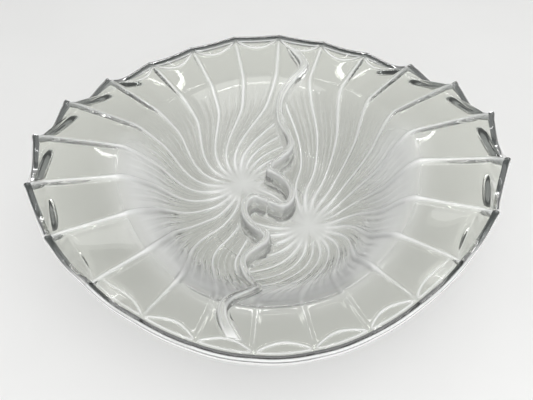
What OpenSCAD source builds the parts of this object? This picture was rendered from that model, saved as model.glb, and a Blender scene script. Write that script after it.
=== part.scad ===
// Divided glass chip and dip server: an oval dish with raised ends, a fluted shelf round the edge,
// two deep basins and a low, wavy divider that curls like an S between them.
// +X runs along the dish, +Z is up, and the origin is the middle of the foot on the table.
// The dish is one casting. Each solid below is one of its regions, and neighbours meet face to face.

/* [Overall size] */
// Length of the oval that the rim corners stand on, across the two raised ends
dish_length = 340; // [290:1:430]
// Width of the same oval, across the two low sides
dish_width = 300; // [250:1:380]
// Height of the rim corners at the middle of the low sides
low_rim_height = 66; // [50:0.5:90]
// How much higher the rim corners stand at the two ends
end_rise = 26; // [0:0.5:36]
// Fullness of the oval: 0 is a plain oval, more fills out its ends and sides
oval_fullness = 0.025; // [0:0.005:0.04]

/* [Glass] */
// Thickness of the glass in the shelf and the basins' wall
glass_thickness = 5.5; // [4:0.1:7]
// Thickness of the floor in the middle of the dish
floor_thickness = 6; // [4:0.1:9]

/* [Basins] */
// Width of the shelf at the low sides, from the rim to the round shoulder of the basins
shelf_width = 40; // [34:1:44]
// How far the shelf falls from the rim to the shoulder
shelf_fall = 7; // [3:0.5:14]
// Width in plan of the basins' curved wall, from the shoulder to the flat floor
wall_run = 72; // [56:1:78]
// Steepness of the wall: more keeps it low and then climbs faster
wall_curve = 1.4; // [1.2:0.1:2.4]
// How far the ribs swing towards the front on their way in, in degrees
rib_swing = 9; // [0:1:25]

/* [Ribs and rim] */
// Number of ribs round the dish
rib_count = 24; // [16:2:30]
// Width of a rib at the rim
rib_width = 4.6; // [3:0.1:6]
// Height of a rib above the shelf
rib_height = 1.4; // [0.4:0.1:2.5]
// How deep each flute between two ribs is hollowed
flute_depth = 1.2; // [0:0.1:2.5]
// How far the edge between two ribs is drawn in from the corners
scallop_inset = 1.2; // [0:0.1:4]
// How far the edge between two ribs dips below the corners at the low sides
scallop_dip = 1; // [0:0.5:5]
// How much further it dips at the raised ends
end_dip = 9; // [0:0.5:11]
// Width of the crescent bevel inside the rim, at the middle of a flute
bevel_width = 9; // [3:0.5:12]
// Width of the fire-polished rim
rim_width = 5; // [3:0.5:7]
// Depth of the fire-polished rim
rim_depth = 7.5; // [7:0.5:11]

/* [Divider] */
// Thickness of the divider at its foot
divider_foot = 9; // [6:0.5:11]
// Thickness of the divider along its top
divider_top = 4; // [2:0.5:5]
// Height of the divider above the flat floor
divider_height = 20; // [10:0.5:28]
// How much higher the divider's wings are where they reach the wall
wing_rise = 6; // [0:0.5:10]
// How far the wings stand proud of the wall and the shelf that they climb
wing_proud = 7; // [2:0.5:9]
// Size of the side-to-side waves of the divider
wave_size = 7.5; // [0:0.5:8]
// Length of one wave of the divider
wave_length = 58; // [45:1:75]
// How far the divider curls round at its middle, in degrees
curl_angle = 105; // [0:5:110]
// Radius inside which the divider curls
curl_radius = 32; // [26:1:40]

/* [Foot] */
// Outside diameter of the foot ring
foot_diameter = 88; // [72:1:106]
// Width of the foot ring
foot_width = 8; // [4:0.5:14]
// Height of the foot ring
foot_height = 3.5; // [2:0.5:6]

/* [Hidden] */

LEFT = 1;
RIGHT = -1;
BACK = 0;
FRONT = 1;
GLASS = [0.86, 0.89, 0.88, 0.45];
DIVIDER_AXIS = 75;   // the divider's two ends lie on this line through the middle, in a flute's centre
END_START = 0.55;    // cosine of the angle from the long axis at which the deep end scallops begin
END_BLEND = 0.4;     // how much further towards the end they reach their full depth
SMALL = 0.001;

mean_radius = (dish_length + dish_width) / 4 / (1 + oval_fullness);
oval_stretch = (dish_length - dish_width) / 4;
rim_ripple = 0.16 * end_rise;
rim_mean = low_rim_height + end_rise / 2 - rim_ripple;
pitch = 360 / rib_count;
rib_half_angle = rib_width / 2 / mean_radius * 180 / PI;
shoulder_radius = dish_width / 2 - shelf_width;
floor_radius = shoulder_radius - wall_run;
floor_top = foot_height + floor_thickness;
core_radius = 0.75 * divider_foot;
heel_radius = foot_diameter / 2 + 4;
wall_offset = glass_thickness + 1.5;   // how far out the wall's underside lies, in plan

// The basins' rings run from the core in the middle to the shoulder, closest where the divider
// curls. The shelf's rows run from the shoulder to the rim's inner edge.
BASIN_RINGS = 22;
RING_BIAS = 1.2;
SHELF_ROWS = 5;
BEVEL_ROW = SHELF_ROWS - 1;
ROW_PLACES = [0, 0.28, 0.62, 0.82, 1];   // places of the rows up to the bevel

function clamp01(t) = min(1, max(0, t));
function smooth(t) = let (u = clamp01(t)) u * u * (3 - 2 * u);
function mix(a, b, t) = a + (b - a) * t;
function ring_radius(j) = mix(core_radius, shoulder_radius, pow((j - 1) / (BASIN_RINGS - 1), RING_BIAS));

// Plan and height of the rim corners, and of the shoulder below them
function oval(a) = mean_radius * (1 + oval_fullness * cos(4 * a)) + oval_stretch * cos(2 * a);
function rim_z(a) = rim_mean + end_rise / 2 * cos(2 * a) + rim_ripple * cos(4 * a);
function shoulder_z(a) = rim_z(a) - shelf_fall;

// The wall's climb from 0 at its foot to 1 at the shoulder, rounded at both ends
function climb(r, low, high) = pow(sin(90 * pow(clamp01((r - low) / (high - low)), wall_curve)), 2);
function shelf_z(a, r) = mix(shoulder_z(a), rim_z(a), clamp01((r - shoulder_radius) / (oval(a) - shoulder_radius)));
function top_z(a, r) = mix(floor_top, shelf_z(a, r), climb(r, floor_radius, shoulder_radius));
function under_z(a, r) = mix(foot_height, shelf_z(a, r) - glass_thickness,
    climb(r, heel_radius, shoulder_radius + wall_offset));

// A column is [kind, where]: the divider's centre line or edge at its back or front wing, or a
// line at an angle from the divider's axis. Every ring and row has the same columns.
CENTRE = 0;
EDGE = 1;
LINE = 2;
side_ribs = rib_count / 2;
COLUMNS = concat(
    [[CENTRE, BACK], [EDGE, BACK]],
    [for (k = [0:side_ribs - 1]) let (rib = pitch * (k + 0.5))
        each concat(
            [[LINE, rib - rib_half_angle], [LINE, rib], [LINE, rib + rib_half_angle]],
            k < side_ribs - 1 ? [[LINE, rib + 0.35 * pitch], [LINE, rib + 0.65 * pitch]] : [])],
    [[EDGE, FRONT], [CENTRE, FRONT]]);
LAST = len(COLUMNS) - 1;

// 0 at a rib, 0.5 in the middle of a flute
function flute_share(column) = column[0] != LINE ? 0.5
    : let (u = column[1] / pitch + 0.5) u - floor(u + SMALL);
function hollow(column) = sin(180 * clamp01(flute_share(column)));

// The edge's dip, most at the raised ends. It is deepest towards the rib that is nearer an end.
function dip(side, column) = let (
        u = flute_share(column),
        place = side == LEFT ? u : 1 - u,
        line = column[0] == LINE ? floor(column[1] / pitch + 0.5 + SMALL) * pitch : 180 * column[1],
        middle = DIVIDER_AXIS + side * line,
        lean = sin(2 * middle),
        share = lean > 0 ? 1 - place : place)
    (scallop_dip + end_dip * smooth((abs(cos(middle)) - END_START) / END_BLEND))
        * pow(abs(sin(180 * pow(clamp01(share), 1 + 0.7 * abs(lean)))), 0.8);
function on_rib(column) = column[0] == LINE && hollow(column) < SMALL;

// The divider in plan: waves along the wings, and a curl in the middle
function wave_angle(r) = -wave_size * cos(360 * (r - 1.8 * curl_radius) / wave_length)
    * smooth((r - 0.7 * curl_radius) / (0.5 * curl_radius)) / r * 180 / PI;
function curl(r) = -curl_angle * (1 - smooth((r - 1.4 * core_radius) / (curl_radius - 1.4 * core_radius)));
function slant(r) = let (turn = (curl(r + 0.5) - curl(r - 0.5)) * PI / 180 * r) sqrt(1 + turn * turn);
function edge_angle(r, half) = min(56, half / r * slant(r) * 180 / PI);
function wing_angle(r) = DIVIDER_AXIS + curl(r) + wave_angle(r);

// Angles from the axis that the divider takes from the ribs, so that no rib runs under it
first_line = pitch / 2 - rib_half_angle;
function kept_clear(r) = min(50, max(0, edge_angle(r, divider_foot / 2 + wave_size + 1.5) - first_line));
function swung(line, r) = let (g = line / 180)
    g + rib_swing / 180 * (1 - pow(clamp01(r / shoulder_radius), 3)) * sin(180 * g);
function line_angle(side, line, r) = r >= shoulder_radius - SMALL ? DIVIDER_AXIS + side * line
    : let (d = kept_clear(r)) DIVIDER_AXIS + curl(r) + side * (d + (180 - 2 * d) * swung(line, r));
function column_angle(side, column, r) = column[0] == LINE ? line_angle(side, column[1], r)
    : wing_angle(r) + 180 * column[1]
        + (column[0] == EDGE ? side * (1 - 2 * column[1]) * edge_angle(r, divider_foot / 2) : 0);

function rib_rise(column, r) = on_rib(column)
    ? rib_height * smooth((r - 0.3 * shoulder_radius) / (0.5 * shoulder_radius)) : 0;

function polar(r, a, z) = [r * cos(a), r * sin(a), z];

// Points of the basin on ring j, 1 at the core to BASIN_RINGS at the shoulder
function basin_point(side, i, j, top) = let (
        r = ring_radius(j), a = column_angle(side, COLUMNS[i], r))
    polar(r, a, top ? top_z(a, r) + rib_rise(COLUMNS[i], r) : under_z(a, r));

// Points of the shelf on row k, 0 at the shoulder to SHELF_ROWS at the rim's inner edge. The
// divider's columns wave with the radius, so theirs is taken from the row's mean radius.
function row_radius(k) = mix(shoulder_radius, dish_width / 2 - rim_width - bevel_width / 2,
    k < SHELF_ROWS ? ROW_PLACES[k] : 1.1);
function shelf_radius(column, a, k) = let (
        outer = oval(a) - scallop_inset * hollow(column) - rim_width,
        bevel = outer - 2 - (bevel_width - 2) * hollow(column))
    k == SHELF_ROWS ? outer : mix(shoulder_radius, bevel, ROW_PLACES[k]);
function shelf_point(side, i, k, top) = let (
        column = COLUMNS[i],
        a = column_angle(side, column, row_radius(k)),
        r = shelf_radius(column, a, k),
        hollowed = flute_depth * hollow(column) * smooth(k / BEVEL_ROW),
        drop = k == SHELF_ROWS ? dip(side, column) : 0)
    polar(r, a, (top ? top_z(a, r) + rib_rise(column, r) : under_z(a, r)) - hollowed - drop);

// The rim's cross-section, outwards and up from the shelf's outer edge
RIM_SECTION = [[0, 0], [0.25 * rim_width, 0.6], [0.75 * rim_width, 0.3], [rim_width, -0.25 * rim_depth],
    [0.95 * rim_width, -0.65 * rim_depth], [0.6 * rim_width, -rim_depth], [0, -glass_thickness]];
RIM_POINTS = len(RIM_SECTION);
function rim_point(side, i, m) = let (
        top = shelf_point(side, i, SHELF_ROWS, true),
        under = shelf_point(side, i, SHELF_ROWS, false),
        a = column_angle(side, COLUMNS[i], row_radius(SHELF_ROWS)),
        section = RIM_SECTION[m])
    m == RIM_POINTS - 1 ? under : top + polar(section[0], a, section[1]);

// A quad as two triangles, turned over when flip is true
function quad(a, b, c, d, flip) = flip ? [[a, c, b], [a, d, c]] : [[a, b, c], [a, c, d]];

// Half of the bowl, between the divider's centre line and the shoulder. The first two points are
// the middle of the dish, on top and underneath; then come the top rings and the rings underneath.
module basin(side) {
    columns = LAST + 1;
    flip = side == RIGHT;
    function at(i, j, top) = 2 + (top ? 0 : BASIN_RINGS * columns) + (j - 1) * columns + i;
    points = concat(
        [[0, 0, floor_top], [0, 0, foot_height]],
        [for (top = [true, false]) for (j = [1:BASIN_RINGS]) for (i = [0:LAST])
            basin_point(side, i, j, top)]);
    faces = concat(
        [for (i = [0:LAST - 1]) each [
            flip ? [0, at(i, 1, true), at(i + 1, 1, true)] : [0, at(i + 1, 1, true), at(i, 1, true)],
            flip ? [1, at(i + 1, 1, false), at(i, 1, false)] : [1, at(i, 1, false), at(i + 1, 1, false)]]],
        [for (j = [1:BASIN_RINGS - 1]) for (i = [0:LAST - 1]) each concat(
            quad(at(i, j, true), at(i + 1, j, true), at(i + 1, j + 1, true), at(i, j + 1, true), flip),
            quad(at(i, j, false), at(i + 1, j, false), at(i + 1, j + 1, false), at(i, j + 1, false), !flip))],
        [for (i = [0:LAST - 1]) each quad(at(i, BASIN_RINGS, true), at(i + 1, BASIN_RINGS, true),
            at(i + 1, BASIN_RINGS, false), at(i, BASIN_RINGS, false), flip)],
        [for (i = [0, LAST]) each concat(
            quad(0, at(i, 1, true), at(i, 1, false), 1, i == 0 ? flip : !flip),
            [for (j = [1:BASIN_RINGS - 1]) each quad(at(i, j, true), at(i, j + 1, true),
                at(i, j + 1, false), at(i, j, false), i == 0 ? flip : !flip)])]);
    color(GLASS) polyhedron(points, faces);
}

// Half of the fluted shelf, from the shoulder to the rim
module shelf(side) {
    columns = LAST + 1;
    flip = side == RIGHT;
    function at(i, k, top) = (top ? 0 : (SHELF_ROWS + 1) * columns) + k * columns + i;
    points = [for (top = [true, false]) for (k = [0:SHELF_ROWS]) for (i = [0:LAST])
        shelf_point(side, i, k, top)];
    faces = concat(
        [for (k = [0:SHELF_ROWS - 1]) for (i = [0:LAST - 1]) each concat(
            quad(at(i, k, true), at(i + 1, k, true), at(i + 1, k + 1, true), at(i, k + 1, true), flip),
            quad(at(i, k, false), at(i + 1, k, false), at(i + 1, k + 1, false), at(i, k + 1, false), !flip))],
        [for (i = [0:LAST - 1]) each concat(
            quad(at(i, 0, true), at(i + 1, 0, true), at(i + 1, 0, false), at(i, 0, false), !flip),
            quad(at(i, SHELF_ROWS, true), at(i + 1, SHELF_ROWS, true),
                at(i + 1, SHELF_ROWS, false), at(i, SHELF_ROWS, false), flip))],
        [for (i = [0, LAST]) for (k = [0:SHELF_ROWS - 1]) each quad(at(i, k, true), at(i, k + 1, true),
            at(i, k + 1, false), at(i, k, false), i == 0 ? flip : !flip)]);
    color(GLASS) polyhedron(points, faces);
}

// The whole rim: the left side's columns from back to front, then the right side's back again
module scalloped_rim() {
    loop = concat([for (i = [0:LAST]) [LEFT, i]], [for (i = [LAST - 1:-1:1]) [RIGHT, i]]);
    count = len(loop);
    function at(n, m) = (n % count) * RIM_POINTS + m % RIM_POINTS;
    points = [for (step = loop) for (m = [0:RIM_POINTS - 1]) rim_point(step[0], step[1], m)];
    faces = [for (n = [0:count - 1]) for (m = [0:RIM_POINTS - 1])
        each quad(at(n, m), at(n + 1, m), at(n + 1, m + 1), at(n, m + 1), false)];
    color(GLASS) polyhedron(points, faces);
}

// The divider's wings follow the basin rings, then the shelf rows up to the bevel. Their top runs
// level across the floor and then climbs the wall, always a little proud of it.
WING_STEPS = BASIN_RINGS + BEVEL_ROW - 1;
function wing_radius(n) = n <= BASIN_RINGS ? ring_radius(n) : row_radius(n - BASIN_RINGS);
function wing_top(foot, n) = let (
        r = wing_radius(n),
        proud = wing_proud * (1 - 0.6 * smooth((r - shoulder_radius) / (wing_radius(WING_STEPS) - shoulder_radius))),
        level = floor_top + divider_height + wing_rise * smooth((r - floor_radius) / (0.7 * wall_run)))
    max(level, foot[2] + proud);
function foot_point(side, i, n) = n <= BASIN_RINGS ? basin_point(side, i, n, true)
    : shelf_point(side, i, n - BASIN_RINGS, true);
function top_point(side, i, n) = let (
        foot = foot_point(side, i, n), middle = foot_point(side, i < 2 ? 0 : LAST, n),
        taper = n == 1 ? 1 : divider_top / divider_foot,
        crown = (i == 0 || i == LAST) && n > 1 ? 1 : 0)
    [mix(middle[0], foot[0], taper), mix(middle[1], foot[1], taper), wing_top(middle, n) + crown];

// One wing's section at step n: up the right side, over the top and down the left
function wing_section(end, n) = let (c = end == BACK ? 0 : LAST, e = end == BACK ? 1 : LAST - 1)
    [foot_point(RIGHT, e, n), top_point(RIGHT, e, n), top_point(LEFT, c, n),
     top_point(LEFT, e, n), foot_point(LEFT, e, n), foot_point(LEFT, c, n)];

module divider() {
    core = concat([for (i = [0:LAST]) [LEFT, i]], [for (i = [LAST - 1:-1:1]) [RIGHT, i]]);
    count = len(core);
    core_top = floor_top + divider_height;
    function under(n) = 2 + n % count;
    function over(n) = 2 + count + n % count;
    first = 2 + 2 * count;
    function section_point(end, n, m) = n > 1 ? first + (end * (WING_STEPS - 1) + n - 2) * 6 + m % 6
        : let (c = end == BACK ? 0 : LAST, right = end == BACK ? count - 1 : c + 1,
               left = end == BACK ? 1 : c - 1)
            [under(right), over(right), over(c), over(left), under(left), under(c)][m % 6];
    points = concat(
        [[0, 0, floor_top], [0, 0, core_top + 1]],
        [for (step = core) basin_point(step[0], step[1], 1, true)],
        [for (step = core) let (p = basin_point(step[0], step[1], 1, true)) [p[0], p[1], core_top]],
        [for (end = [BACK, FRONT]) for (n = [2:WING_STEPS]) each wing_section(end, n)]);
    open_steps = [for (n = [0:count - 1]) if (n != 0 && n != LAST - 1 && n != LAST && n != count - 1) n];
    faces = concat(
        [for (n = [0:count - 1]) each [[0, under(n), under(n + 1)], [1, over(n + 1), over(n)]]],
        [for (n = open_steps) each quad(over(n), over(n + 1), under(n + 1), under(n), false)],
        [for (end = [BACK, FRONT]) each concat(
            [for (n = [1:WING_STEPS - 1]) for (m = [0:5]) each quad(
                section_point(end, n, m), section_point(end, n, m + 1),
                section_point(end, n + 1, m + 1), section_point(end, n + 1, m), end == FRONT)],
            [for (m = [1:4]) let (a = section_point(end, WING_STEPS, 0),
                    b = section_point(end, WING_STEPS, m), c = section_point(end, WING_STEPS, m + 1))
                end == FRONT ? [a, c, b] : [a, b, c]])]);
    color(GLASS) polyhedron(points, faces);
}

// The ring that the dish stands on
module foot_ring() {
    color(GLASS) difference() {
        cylinder(d = foot_diameter, h = foot_height, $fn = 96);
        translate([0, 0, -1]) cylinder(d = foot_diameter - 2 * foot_width, h = foot_height + 2, $fn = 96);
    }
}

basin(LEFT);  // left_basin
basin(RIGHT);  // right_basin
shelf(LEFT);  // left_shelf
shelf(RIGHT);  // right_shelf
scalloped_rim();
divider();
foot_ring();
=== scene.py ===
"""The looks of a divided chip and dip server in clear pressed glass.

The dish is one pressing. The script draws its seven named regions as closed glass pieces that
meet face to face, dresses them, and lights them on a pale table. Lengths are in metres.
"""

import logging
import math
from collections.abc import Callable, Iterable
from dataclasses import dataclass, field
from enum import Enum

import bpy
import numpy as np
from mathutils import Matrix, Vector

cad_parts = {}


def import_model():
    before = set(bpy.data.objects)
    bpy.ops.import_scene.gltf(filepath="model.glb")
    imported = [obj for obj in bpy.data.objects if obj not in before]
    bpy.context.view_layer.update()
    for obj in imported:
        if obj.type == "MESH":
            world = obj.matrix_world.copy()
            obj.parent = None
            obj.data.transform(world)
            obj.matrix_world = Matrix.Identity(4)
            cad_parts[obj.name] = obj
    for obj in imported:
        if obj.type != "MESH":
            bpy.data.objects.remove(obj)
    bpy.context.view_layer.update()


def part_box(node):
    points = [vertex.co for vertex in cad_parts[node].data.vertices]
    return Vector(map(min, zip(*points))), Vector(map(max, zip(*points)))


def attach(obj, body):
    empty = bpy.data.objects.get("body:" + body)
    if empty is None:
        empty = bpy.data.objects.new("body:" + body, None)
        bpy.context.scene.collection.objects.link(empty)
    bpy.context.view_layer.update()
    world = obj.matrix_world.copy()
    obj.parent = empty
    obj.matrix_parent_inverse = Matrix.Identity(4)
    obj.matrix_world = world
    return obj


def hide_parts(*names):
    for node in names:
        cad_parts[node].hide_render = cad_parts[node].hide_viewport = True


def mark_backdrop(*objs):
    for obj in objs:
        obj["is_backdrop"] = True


LOG = logging.getLogger("server")
MM = 0.001
Array = np.ndarray

# The rim's own length and width as shares of its oval's, because no corner lies on the oval's axes
LENGTH_REACH = 0.9925
WIDTH_REACH = 0.992

# Points closer together than this are one point
WELD = 0.002 * MM


class Side(Enum):
    """The two halves of the dish, named as they lie, with the sense their columns turn in."""

    LEFT = 1
    RIGHT = -1


class End(Enum):
    """The divider's two wings, as half turns from the back."""

    BACK = 0
    FRONT = 1


class Finish(Enum):
    """Which of a piece's two materials a face takes."""

    GLASS = 0
    JOINT = 1


def smooth(t: Array) -> Array:
    """Ease from 0 to 1 with level ends, held outside that range."""
    u = np.clip(t, 0.0, 1.0)
    return u * u * (3.0 - 2.0 * u)


def blend(a: Array, b: Array, t: Array) -> Array:
    """Mix a and b, all a at 0 and all b at 1."""
    return a + (b - a) * t


def bell(distance: Array, width: Array | float) -> Array:
    """Fall smoothly from 1 at no distance to almost nothing at twice the width."""
    return np.exp(-((distance / width) ** 2))


# ---------------------------------------------------------------------------------------------
# Form
# ---------------------------------------------------------------------------------------------


@dataclass(frozen=True)
class DishForm:
    """The curves and surfaces that every piece of the dish shares."""

    length: float
    width: float
    foot_height: float
    foot_radius: float
    foot_width: float = 8.0 * MM
    low_rim: float = 66.0 * MM          # height of the rim's corners along the low sides
    rise: float = 26.0 * MM             # how much higher they are at the two ends
    ripple: float = 0.16                # share of the rise that sharpens the ends
    fullness: float = 0.025             # how far the oval bulges towards a rounded box
    end_start: float = 0.55             # cosine at which the raised ends begin
    end_blend: float = 0.4
    glass: float = 5.5 * MM
    floor: float = 6.0 * MM
    shelf_width: float = 40.0 * MM      # from the shoulder to the oval, along the low sides
    shelf_fall: float = 7.0 * MM
    wall_run: float = 72.0 * MM
    wall_curve: float = 1.4
    heel_gap: float = 1.0 * MM          # from the foot to where the underside starts to climb
    shoulder_gap: float = 2.0 * MM      # from the shoulder to where it has climbed
    ribs: int = 24
    rib_half: float = 3.4 * MM
    rib_height: float = 2.1 * MM
    rib_slim: float = 0.62              # a rib's size near its hub, as a share of its full size
    slim_start: float = 20.0 * MM
    slim_run: float = 60.0 * MM
    rib_start: float = 12.0 * MM        # distance from the hub at which a rib rises
    rib_grow: float = 20.0 * MM
    rim_ease: float = 8.0 * MM          # how far before the bevel the ribs start to fade
    rim_fade: float = 12.0 * MM
    rib_end_loss: float = 0.5           # what the ribs lose at the rim, at the raised ends
    rib_front_loss: float = 0.75        # what they lose on the front
    front_start: float = 0.72           # sine towards the front at which it begins
    front_ease: float = 0.2
    front_inner: float = 0.6            # in shoulder radii
    front_run: float = 0.3
    swirl: float = math.radians(26.0)
    swirl_core: float = 12.0 * MM
    swirl_run: float = 70.0 * MM
    hub_pull: float = 0.30              # share of the mean radius inside which ribs aim at their hub
    left_hub: tuple[float, float] = (-19.0 * MM, 31.0 * MM)
    right_hub: tuple[float, float] = (31.0 * MM, -14.0 * MM)
    line_height: float = 0.5 * MM
    line_counts: tuple[int, int] = (4, 7)   # fine lines from one rib to the next, in two patterns
    second_line: float = 0.5            # height of the second pattern, as a share of the first's
    second_shift: float = 1.3
    line_start: float = 8.0 * MM
    line_grow: float = 16.0 * MM
    line_full: float = 60.0 * MM        # distance from the hub at which the lines have full height
    least_line: float = 0.3
    line_end: float = 0.50              # share of the mean radius at which they start to fade
    line_fade: float = 0.17
    flute_depth: float = 1.2 * MM
    flute_run: float = 30.0 * MM
    scallop_inset: float = 1.2 * MM
    scallop_dip: float = 1.0 * MM
    flute_edge: float = 3.0             # how steeply a flute's crescent opens at its ribs
    plain_share: float = 0.3            # share of the small scallops that the flame left on the low sides
    end_dip: float = 9.0 * MM
    dip_lean: float = 0.7               # how far the deepest point lies towards the end's tip
    bevel: float = 9.0 * MM
    bevel_land: float = 1.5 * MM        # what is left of the bevel at a rib
    bevel_ease: float = 6.0 * MM
    wedge_close: float = 0.06           # share of an end flute in which its bevel closes
    crease_height: float = 0.7 * MM
    crease_width: float = 1.1 * MM
    crease_end_loss: float = 0.7
    rim_width: float = 5.0 * MM
    rim_depth: float = 7.5 * MM
    axis: float = math.radians(75.0)
    divider_foot: float = 5.0 * MM
    divider_height: float = 20.0 * MM
    wing_rise: float = 6.0 * MM
    wing_proud: float = 7.0 * MM
    wing_end: float = 135.0 * MM        # radius at which the wings have run out on the shelf
    wave_size: float = 7.5 * MM
    wave_length: float = 58.0 * MM
    wave_start: float = 0.7             # where the waves begin, grow and cross, in curl radii
    wave_grow: float = 0.5
    wave_crossing: float = 1.8
    curl_angle: float = math.radians(105.0)
    curl_radius: float = 32.0 * MM
    curl_core: float = 9.4 * MM

    @classmethod
    def from_frame(cls) -> "DishForm":
        """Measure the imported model.

        Returns:
            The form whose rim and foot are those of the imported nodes.
        """
        low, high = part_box("scalloped_rim")
        foot_low, foot_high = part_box("foot_ring")
        return cls(
            length=(high.x - low.x) / LENGTH_REACH,
            width=(high.y - low.y) / WIDTH_REACH,
            foot_height=foot_high.z - foot_low.z,
            foot_radius=(foot_high.x - foot_low.x) / 2,
        )

    @property
    def mean_radius(self) -> float:
        """Mean radius of the oval that the rim corners stand on."""
        return (self.length + self.width) / 4 / (1 + self.fullness)

    @property
    def shoulder(self) -> float:
        """Radius at which the shelf turns down into the wall."""
        return self.width / 2 - self.shelf_width

    @property
    def floor_top(self) -> float:
        """Height of the flat floor inside the dish."""
        return self.foot_height + self.floor

    @property
    def foot_inner(self) -> float:
        """Inner radius of the foot ring."""
        return self.foot_radius - self.foot_width

    @property
    def pitch(self) -> float:
        """Angle from one rib to the next."""
        return 2 * math.pi / self.ribs

    def oval(self, a: Array) -> Array:
        """Radius of the rim corners' oval at angle a."""
        stretch = (self.length - self.width) / 4
        return self.mean_radius * (1 + self.fullness * np.cos(4 * a)) + stretch * np.cos(2 * a)

    def rim_z(self, a: Array) -> Array:
        """Height of the rim's corners.

        Args:
            a: Angles round the dish.

        Returns:
            The height at each.
        """
        ripple = self.ripple * self.rise
        mean = self.low_rim + self.rise / 2 - ripple
        return mean + self.rise / 2 * np.cos(2 * a) + ripple * np.cos(4 * a)

    def hollow(self, a: Array) -> Array:
        """0 at the ribs' angles and 1 in the middle of each flute."""
        return np.abs(np.cos((a - self.axis) * self.ribs / 2))

    def between_ribs(self, a: Array) -> Array:
        """0 at the ribs' angles and 1 over most of each flute."""
        return smooth(self.hollow(a) * self.flute_edge)

    def ends(self, a: Array) -> Array:
        """1 at the two raised ends and 0 along the low sides."""
        return smooth((np.abs(np.cos(a)) - self.end_start) / self.end_blend)

    def plain(self, a: Array) -> Array:
        """How much of the scallops' small size shows: little of it along the low sides."""
        return blend(self.plain_share, 1.0, self.ends(a))

    def flute_place(self, a: Array) -> tuple[Array, Array]:
        """Find where angles lie among the flutes.

        Args:
            a: Angles round the dish.

        Returns:
            The place within its flute of each angle, 0 to 1, and the angle of that flute's middle.
        """
        count = (a - self.axis) / self.pitch - 0.5
        return count - np.floor(count), self.axis + (np.floor(count) + 1) * self.pitch

    def dip(self, a: Array) -> Array:
        """How far the edge dips below its corners, which is furthest at the raised ends.

        Args:
            a: Angles round the dish.

        Returns:
            The dip at each, deepest in the part of a flute that is nearer the end's tip.
        """
        place, middle = self.flute_place(a)
        lean = np.sin(2 * middle)
        near_end = np.where(lean > 0, 1 - place, place)
        shape = np.sin(math.pi * near_end ** (1 + self.dip_lean * np.abs(lean)))
        return (self.scallop_dip * self.plain(a) + self.end_dip * self.ends(middle)) * shape

    def wedge(self, a: Array) -> Array:
        """How wide the bevel is in a raised end's flute.

        Args:
            a: Angles round the dish.

        Returns:
            Shares of its full width: 0 at the flute's front rib and 1 just before its back rib.
        """
        place, _ = self.flute_place(a)
        toward_back = np.where(np.cos(a) < 0, 1 - place, place)
        return toward_back * smooth((1 - toward_back) / self.wedge_close)

    def rim_inner(self, a: Array) -> Array:
        """Radius of the rim's inner edge, where the shelf ends."""
        return self.oval(a) - self.scallop_inset * self.hollow(a) * self.plain(a) - self.rim_width

    def bevel_edge(self, a: Array) -> Array:
        """Radius at which the crescent bevel inside the rim begins."""
        shape = blend(self.hollow(a), self.wedge(a), self.ends(a))
        return self.rim_inner(a) - blend(self.bevel_land, self.bevel, shape)

    def climb(self, r: Array, low: float, high: float) -> Array:
        """The wall's climb from 0 at radius low to 1 at radius high."""
        return np.sin(math.pi / 2 * np.clip((r - low) / (high - low), 0, 1) ** self.wall_curve) ** 2

    def shelf_z(self, a: Array, r: Array) -> Array:
        """Height of the plain shelf, before ribs and flutes."""
        share = np.clip((r - self.shoulder) / (self.oval(a) - self.shoulder), 0, 1)
        return self.rim_z(a) - self.shelf_fall * (1 - share)

    def wave_angle(self, r: Array) -> Array:
        """Find the turn of the divider's wings as they wave from side to side.

        Args:
            r: Radii.

        Returns:
            The turn at each.
        """
        grow = smooth((r - self.wave_start * self.curl_radius) / (self.wave_grow * self.curl_radius))
        wave = np.cos(2 * math.pi * (r - self.wave_crossing * self.curl_radius) / self.wave_length)
        return -self.wave_size * wave * grow / np.maximum(r, MM)

    def curl(self, r: Array) -> Array:
        """Turn of the divider where it curls at the middle."""
        return -self.curl_angle * (1 - smooth((r - self.curl_core) / (self.curl_radius - self.curl_core)))

    def wing_angle(self, r: Array) -> Array:
        """Angle of the back wing's centre line at radius r."""
        return self.axis + self.curl(r) + self.wave_angle(r)

    def slant(self, r: Array) -> Array:
        """Find how much wider the divider is along a circle than straight across.

        Args:
            r: Radii.

        Returns:
            The width along the circle at each, as a multiple of the width across.
        """
        step = 0.5 * MM
        turn = (self.wing_angle(r + step) - self.wing_angle(np.maximum(r - step, 0))) / (2 * step) * r
        return np.sqrt(1 + turn * turn)

    def offset_angle(self, r: Array, across: Array) -> Array:
        """Angle from a wing's centre line to a line that lies a distance across from it."""
        share = across * self.slant(r) / np.maximum(r, 0.001 * MM)
        return np.arcsin(np.clip(share, -1, 1))

    def rib_field(self, side: Side, x: Array, y: Array) -> tuple[Array, Array, Array]:
        """Find how the ribs run at points of one half.

        Args:
            side: The half of the dish.
            x: Distances along the dish.
            y: Distances across the dish.

        Returns:
            The rib count at each point, whole on a rib, the distance to the ribs' hub, and the
            distance from the middle of the dish.
        """
        r = np.hypot(x, y)
        hub = self.left_hub if side is Side.LEFT else self.right_hub
        near = self.hub_pull * self.mean_radius
        pull = 1 - smooth((r - near) / (self.shoulder - near))
        hub_x, hub_y = x - hub[0] * pull, y - hub[1] * pull
        reach = np.hypot(hub_x, hub_y)
        swirl = self.swirl * (1 - smooth((reach - self.swirl_core) / self.swirl_run))
        angle = np.arctan2(hub_y, hub_x) - swirl
        return (angle - self.axis) / self.pitch - 0.5, reach, r

    def from_rib(self, count: Array, reach: Array) -> Array:
        """Distance from the nearest rib's crest."""
        return np.abs(count - np.round(count)) * self.pitch * reach

    def front(self, a: Array, r: Array) -> Array:
        """1 on the front of the shelf and the wall below it, where the ribs melt away, and 0 elsewhere."""
        outside = smooth((r / self.shoulder - self.front_inner) / self.front_run)
        return smooth((-np.sin(a) - self.front_start) / self.front_ease) * outside

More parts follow.
